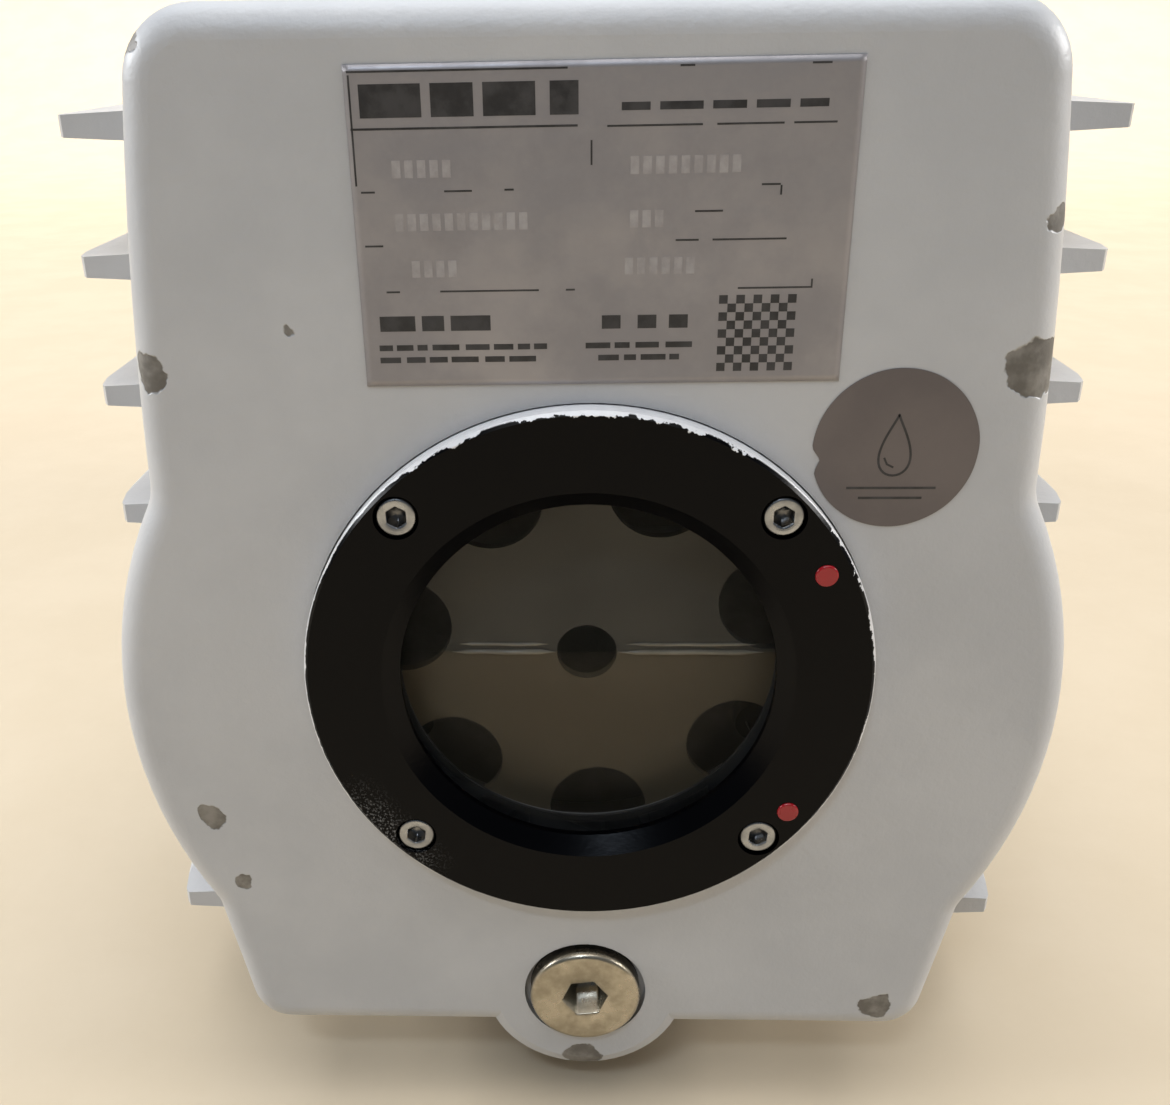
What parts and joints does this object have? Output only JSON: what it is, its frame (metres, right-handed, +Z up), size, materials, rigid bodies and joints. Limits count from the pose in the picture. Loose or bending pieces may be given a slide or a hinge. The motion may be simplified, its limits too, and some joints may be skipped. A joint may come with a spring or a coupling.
{
  "type": "rotary vane vacuum pump",
  "caption": "Oil-sealed rotary vane vacuum pump with a finned oil case, round sight glass, drain plug, top ports, coupling housing and flanged electric motor.",
  "frame": {"origin": "centre of the whole pump's footprint, on the floor under the rubber feet", "axes": "+Z up, -Y towards the sight glass at the front, +Y towards the motor's fan, X across"},
  "size_m": [0.266, 0.6262, 0.356],
  "materials": {
    "case_paint": "aluminium casting under light grey paint with a fine orange peel",
    "motor_paint": "aluminium under semi-gloss grey motor paint",
    "cowl_paint": "dark grey powder coat",
    "black_enamel": "gloss black enamel, worn at the rim",
    "clear_glass": "clear flat sight glass",
    "zinc_steel": "zinc plated",
    "nickel_steel": "warm nickel plate, scuffed",
    "black_steel": "black oxide",
    "ground_steel": "ground, oily",
    "spring_steel": "spring steel",
    "grey_iron": "machined grey iron, oily",
    "turned_aluminium": "turned, satin",
    "bush_bronze": "sintered bearing bronze",
    "winding_copper": "varnished copper and core plates",
    "plate_foil": "printed foil plate, scuffed",
    "dark_plate": "dark plate wetted by oil",
    "seal_rubber": "nitrile rubber",
    "foot_rubber": "moulded rubber",
    "red_elastomer": "polyurethane",
    "red_plastic": "red enamel dots",
    "black_plastic": "black moulded plastic",
    "gland_nylon": "nylon",
    "vane_composite": "fibre reinforced composite",
    "gasket_fibre": "pressed fibre gasket",
    "filter_fleece": "pleated fleece",
    "grey_sticker": "printed foil sticker"
  },
  "bodies": {
    "pump": {"oil_case": "case_paint", "centre_housing": "case_paint", "coupling_housing": "case_paint", "case_gasket": "gasket_fibre", "case_screws": "zinc_steel", "sight_glass_ring": "black_enamel", "sight_glass": "clear_glass", "glass_seals": "seal_rubber", "ring_screws": "zinc_steel", "level_marks": "red_plastic", "baffle_disc": "dark_plate", "drain_plug": "nickel_steel", "plug_seals": "seal_rubber", "nameplate": "plate_foil", "round_sticker": "grey_sticker", "fill_plug": "black_plastic", "exhaust_filter": "filter_fleece", "front_end_plate": "grey_iron", "stage_one_ring": "grey_iron", "stage_two_ring": "grey_iron", "partition_plate": "grey_iron", "tie_screws": "black_steel", "oil_pump_body": "grey_iron", "oil_pump_cover": "grey_iron", "bearing_bushes": "bush_bronze", "valve_cages": "zinc_steel", "shaft_seal": "seal_rubber", "intake_flange": "turned_aluminium", "exhaust_flange": "turned_aluminium", "port_screws": "zinc_steel", "lifting_eye": "zinc_steel", "lantern_screws": "zinc_steel", "motor_housing": "motor_paint", "front_shield": "motor_paint", "rear_shield": "motor_paint", "motor_bearings": "ground_steel", "motor_stator": "winding_copper", "fan_cowl": "cowl_paint", "cowl_screws": "zinc_steel", "terminal_box": "motor_paint", "terminal_lid": "motor_paint", "cable_gland": "gland_nylon", "rubber_feet": "foot_rubber"},
    "shaft_train": {"rotor": "ground_steel", "drive_gear": "ground_steel", "vane_springs": "spring_steel", "pump_coupling_hub": "grey_iron", "coupling_spider": "red_elastomer", "motor_coupling_hub": "grey_iron", "motor_rotor": "ground_steel", "motor_fan": "black_plastic"},
    "oil_pump_idler": {"idler_gear": "ground_steel"},
    "gas_ballast": {"gas_ballast_knob": "black_plastic"},
    "intake_valve": {"intake_valve_disc": "turned_aluminium"},
    "stage_one_valve": {"stage_one_valve_disc": "spring_steel"},
    "stage_two_valve": {"stage_two_valve_disc": "spring_steel"},
    "stage_one_vane_a_body": {"stage_one_vane_a": "vane_composite"},
    "stage_one_vane_b_body": {"stage_one_vane_b": "vane_composite"},
    "stage_two_vane_a_body": {"stage_two_vane_a": "vane_composite"},
    "stage_two_vane_b_body": {"stage_two_vane_b": "vane_composite"}
  },
  "joints": [
    {"name": "shaft_spin", "type": "hinge", "parent": "pump", "child": "shaft_train", "pos_m": [0, -0.1069, 0.138], "axis": [0, 1, 0], "continuous": true},
    {"name": "oil_pump_idler_spin", "type": "hinge", "parent": "pump", "child": "oil_pump_idler", "pos_m": [0.032, -0.2434, 0.138], "axis": [0, 1, 0], "continuous": true},
    {"name": "gas_ballast_turn", "type": "hinge", "parent": "pump", "child": "gas_ballast", "pos_m": [0.078, -0.0709, 0.214], "axis": [1, 0, 0], "range_deg": [0, 90]},
    {"name": "intake_valve_lift", "type": "slide", "parent": "pump", "child": "intake_valve", "axis": [0, 0, 1], "range_m": [0, 0.008]},
    {"name": "stage_one_valve_lift", "type": "slide", "parent": "pump", "child": "stage_one_valve", "axis": [0, 0, 1], "range_m": [0, 0.002]},
    {"name": "stage_two_valve_lift", "type": "slide", "parent": "pump", "child": "stage_two_valve", "axis": [0, 0, 1], "range_m": [0, 0.002]},
    {"name": "stage_one_vane_a_slide", "type": "slide", "parent": "shaft_train", "child": "stage_one_vane_a_body", "axis": [-1, 0, 0], "range_m": [0, 0.008]},
    {"name": "stage_one_vane_b_slide", "type": "slide", "parent": "shaft_train", "child": "stage_one_vane_b_body", "axis": [1, 0, 0], "range_m": [0, 0.008]},
    {"name": "stage_two_vane_a_slide", "type": "slide", "parent": "shaft_train", "child": "stage_two_vane_a_body", "axis": [-1, 0, 0], "range_m": [0, 0.008]},
    {"name": "stage_two_vane_b_slide", "type": "slide", "parent": "shaft_train", "child": "stage_two_vane_b_body", "axis": [1, 0, 0], "range_m": [0, 0.008]}
  ],
  "couplings": [
    {"joint": "oil_pump_idler_spin", "follows": "shaft_spin", "ratio": -1}
  ]
}
